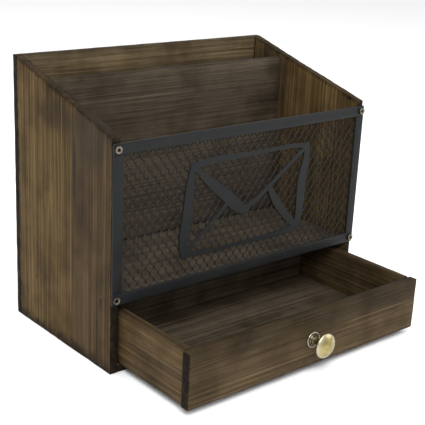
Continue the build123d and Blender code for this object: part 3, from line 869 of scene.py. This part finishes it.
def turned(name, centre, outline, steps=64):
    """Spins an outline of (radius, height) points about an axis that leaves centre towards -Y."""
    clear_selection()
    bpy.ops.mesh.primitive_plane_add(size=1 * MM, location=centre)
    obj = settle(bpy.context.object, name)
    edit(obj, "VERT")
    bpy.ops.mesh.select_all(action="SELECT")
    bpy.ops.mesh.merge(type="CENTER")
    at_r, at_h = 0.0, 0.0
    bpy.ops.mesh.select_all(action="SELECT")
    for i, (radius, height) in enumerate(outline):
        move = {"value": ((radius - at_r) * MM, -(height - at_h) * MM, 0)}
        if i == 0:
            bpy.ops.transform.translate(**move)
        else:
            bpy.ops.mesh.extrude_vertices_move(TRANSFORM_OT_translate=move)
        at_r, at_h = radius, height
    bpy.ops.mesh.select_all(action="SELECT")
    bpy.ops.mesh.spin(steps=steps, angle=math.tau, center=centre, axis=(0, 1, 0))
    bpy.ops.mesh.select_all(action="SELECT")
    bpy.ops.mesh.remove_doubles(threshold=SEAM)
    bpy.ops.mesh.normals_make_consistent(inside=False)
    bpy.ops.object.mode_set(mode="OBJECT")
    return obj


print("lathe ready")

# %% [markdown]
# ## Frame screws
# Pan-head screws with a rolled rim and a cross recess. The middle round the recess and the foot of
# the head are darkened with painted shade, so the rim between shows as a bright ring.

# %% Frame screws
def shade_ringed_metal(name, centre_x, centre_z, bright, dull, shade_tone, radius):
    """Metal darkened with painted shade in the middle and at the foot of a head, with a bright ring
    between.
    """
    g = Graph(name)
    place = g.place()
    away = g.off_axis(place, centre_x, centre_z)
    cloud = g.noise(place, (700, 700, 700), detail=3)
    tone = g.mix(g.span(cloud, 0.35, 0.7), bright, dull)
    # painted shade: first at the foot of the head, then over the middle round the recess
    tone = g.mix(g.span(away, radius * 0.80, radius * 0.94, 0.0, 0.75), tone, shade_tone)
    g.set(Base_Color=g.mix(g.span(away, radius * 0.28, radius * 0.62, 0.9, 0.0), tone, shade_tone))
    g.shader.inputs["Metallic"].default_value = 0.9
    g.set(Roughness=g.evenly(cloud, 0.3, 0.7, 0.3, 0.5))
    g.bump(cloud, 0.04 * MM, 0.3)
    return g.material


# outlines of turned parts are (radius, height) points in mm
HEAD_R = 3.6
HEAD = [(0.0, 1.30), (1.3, 1.36), (2.1, 1.62), (2.7, 1.90), (3.1, 1.92), (3.45, 1.62), (HEAD_R, 1.1),
        (HEAD_R, 0.25), (3.45, 0.0), (1.5, 0.0), (1.5, -14.0), (0.2, -16.0), (0.0, -16.0)]
CROSS_LONG, CROSS_WIDE = 3.4 * MM, 0.8 * MM
CROSS_TOP, CROSS_FLOOR = 2.4 * MM, 0.5 * MM      # measured from the face of the bar
for level, turn in (("top", math.radians(24)), ("bottom", math.radians(-17))):
    lo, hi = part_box(f"frame_{level}_bar")
    z = (lo[2] + hi[2]) / 2
    for side, x in (("left", -screw_x), ("right", screw_x)):
        centre = (x, bar_top_lo[1], z)
        screw = turned(f"frame_screw_{level}_{side}", centre, HEAD, steps=40)
        for a, b in ((CROSS_LONG, CROSS_WIDE), (CROSS_WIDE, CROSS_LONG)):
            arm = box_piece("arm", (x - a / 2, centre[1] - CROSS_TOP, z - b / 2),
                            (x + a / 2, centre[1] - CROSS_FLOOR, z + b / 2))
            activate(arm)
            bpy.ops.object.mode_set(mode="EDIT")
            bpy.ops.mesh.select_all(action="SELECT")
            bpy.ops.transform.rotate(value=turn, orient_axis="Y", center_override=centre)
            bpy.ops.object.mode_set(mode="OBJECT")
            cut_away(screw, arm)
        smooth(screw, 35)
        nickel = shade_ringed_metal(f"nickel_{level}_{side}", x, z, "#827a6d", "#5c554b", "#0c0a09", HEAD_R * MM)
        dress(screw, nickel, "carcass", "aged_nickel")
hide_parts("frame_screws")

# %% [markdown]
# ## The knob
# A domed brass head on a slim neck, above a stepped rosette. Antique brass is lacquered brown first
# and then polished where a hand would rub it: the dome and the rims are pale, the grooves and the
# neck stay dark.

# %% Brass finish
def antique_metal(name, centre_x, centre_z, radius, pale, deep, rim_tone, grooves):
    """Old plated metal: patchy between pale and deep, the rim is rubbed pale, grooves hold grime."""
    g = Graph(name)
    place = g.place()
    cloud = g.noise(place, (160, 160, 160), detail=3)
    fine = g.noise(place, (900, 900, 900), detail=2)
    away = g.off_axis(place, centre_x, centre_z)
    uneven = g.math("MULTIPLY", g.math("SUBTRACT", cloud, 0.5), 0.25)
    away = g.math("ADD", g.math("DIVIDE", away, radius), uneven)
    tone = g.mix(g.span(cloud, 0.32, 0.68), pale, deep)
    tone = g.mix(g.span(away, 0.62, 0.98, 0.0, 0.85), tone, rim_tone)
    geometry = g.tree.nodes.new("ShaderNodeNewGeometry")
    edge = g.span(geometry.outputs["Pointiness"], 0.46, 0.56)
    tone = g.mix(g.math("MULTIPLY", g.math("SUBTRACT", 1.0, edge), grooves), tone, "#1d1814")
    g.set(Base_Color=tone)
    g.shader.inputs["Metallic"].default_value = 1.0
    g.set(Roughness=g.evenly(cloud, 0.3, 0.7, 0.26, 0.40))
    g.bump(fine, 0.03 * MM, 0.25)
    return g.material


# %% Rosette and knob
rosette_lo, rosette_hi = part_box("knob_rosette")
face_y = front_lo[1]
R = (rosette_hi[0] - rosette_lo[0]) / 2 / MM
BORE_R, ROSETTE_H = 2.05, 3.2
ROSETTE = [(BORE_R, 0.0), (R - 0.35, 0.0), (R - 0.05, 0.3), (R, 0.8), (R - 0.2, 1.35), (R - 0.6, 1.65),
           (R - 1.1, 1.55), (R - 1.4, 1.1), (R - 1.65, 0.7), (R - 1.95, 0.75), (R - 2.15, 1.2),
           (R - 2.35, 1.9), (R - 2.7, 2.3), (R - 3.05, 2.2), (R - 3.3, 1.85), (R - 3.5, 1.85),
           (R - 3.65, 2.3), (R - 3.8, 2.95), (R - 4.1, ROSETTE_H), (BORE_R, ROSETTE_H), (BORE_R, 0.0)]
rosette = turned("knob_rosette_turned", (knob_x, face_y, knob_z), ROSETTE, steps=72)
smooth(rosette, 40)
dress(rosette, antique_metal("old_rosette", knob_x, knob_z, R * MM, "#756c5e", "#4c443a", "#a49a87", 0.95),
      "drawer", "antique_brass", "knob_rosette")

K = (knob_hi[0] - knob_lo[0]) / 2 / MM
H = (face_y - knob_lo[1]) / MM
W = H - 5.4            # height of the widest part of the head
KNOB = [(0.0, 3.25), (3.3, 3.25), (3.05, 4.3), (2.92, 5.6), (2.9, 6.9), (3.1, 8.3), (3.55, 9.6),
        (4.4, 10.8), (5.6, 12.0), (7.0, 13.1), (K - 2.5, W - 1.75), (K - 1.2, W - 1.1), (K - 0.5, W - 0.6),
        (K - 0.08, W - 0.1), (K, W + 0.3), (K - 0.25, W + 0.9), (K - 1.0, W + 1.65), (K - 2.15, W + 2.5),
        (K - 3.6, W + 3.35), (K - 5.2, W + 4.1), (K - 7.1, W + 4.75), (K - 9.2, W + 5.2), (0.0, H)]
knob = turned("knob_turned", (knob_x, face_y, knob_z), KNOB, steps=72)
smooth(knob, 60)
dress(knob, antique_metal("old_brass", knob_x, knob_z, K * MM, "#a89c6c", "#8f8353", "#b3ab92", 0.25),
      "drawer", "antique_brass", "knob")

# %% [markdown]
# ## Studio
# A pale floor and soft light from above and in front, as for a catalogue. The camera stands to the
# front left, about 19 degrees above the horizon, and is rolled a little.

# %% Floor, lights and world
clear_selection()
bpy.ops.mesh.primitive_plane_add(size=30, location=(0, 0, 0))
floor = settle(bpy.context.object, "floor")
g = Graph("pale_floor")
FLOOR_GREY = (0.92, 0.92, 0.92, 1)
for socket, value in (("Base Color", FLOOR_GREY), ("Roughness", 0.9), ("Specular IOR Level", 0.1)):
    g.shader.inputs[socket].default_value = value
floor.data.materials.append(g.material)

world = bpy.data.worlds.new("studio")
bpy.context.scene.world = world
world.use_nodes = True
background = world.node_tree.nodes["Background"]
background.inputs["Color"].default_value = (1, 1, 1, 1)
background.inputs["Strength"].default_value = 0.9


def softbox(name, place, aim, size, power):
    """A square area light that looks at a point."""
    clear_selection()
    turn = (Vector(aim) - Vector(place)).to_track_quat("-Z", "Y").to_euler()
    bpy.ops.object.light_add(type="AREA", location=place, rotation=turn)
    light = bpy.context.object
    light.name = name
    light.data.shape = "SQUARE"
    light.data.size = size
    light.data.energy = power


MIDDLE = (0, 0, 0.1)
softbox("key", (-0.9, -1.2, 1.6), MIDDLE, 1.0, 34)
softbox("fill", (1.4, -1.0, 0.9), MIDDLE, 1.2, 9)
softbox("top", (0.1, 0.2, 1.9), MIDDLE, 1.4, 16)
print("studio ready")

# %% Camera
AZIMUTH, ELEVATION, ROLL = math.radians(40.72), math.radians(18.57), math.radians(2.71)
DISTANCE = 0.9921
TARGET = Vector((0.0291, 0.0, 0.0944))
LENS, SENSOR = 82.706, 36.0       # mm
towards = Vector((-math.sin(AZIMUTH) * math.cos(ELEVATION), -math.cos(AZIMUTH) * math.cos(ELEVATION),
                  math.sin(ELEVATION)))
forward = -towards
right = forward.cross(Vector((0, 0, 1))).normalized()
up = right.cross(forward)
turned_right = math.cos(ROLL) * right + math.sin(ROLL) * up
turned_up = -math.sin(ROLL) * right + math.cos(ROLL) * up
clear_selection()
bpy.ops.object.camera_add(location=TARGET + DISTANCE * towards)
camera = bpy.context.object
camera.rotation_euler = Matrix((turned_right, turned_up, -forward)).transposed().to_euler()
camera.data.sensor_width = SENSOR
camera.data.lens = LENS
camera.data.clip_start = 0.01
bpy.context.scene.camera = camera
bpy.context.scene.view_settings.view_transform = "Standard"
print("lens", round(camera.data.lens, 1), "mm")
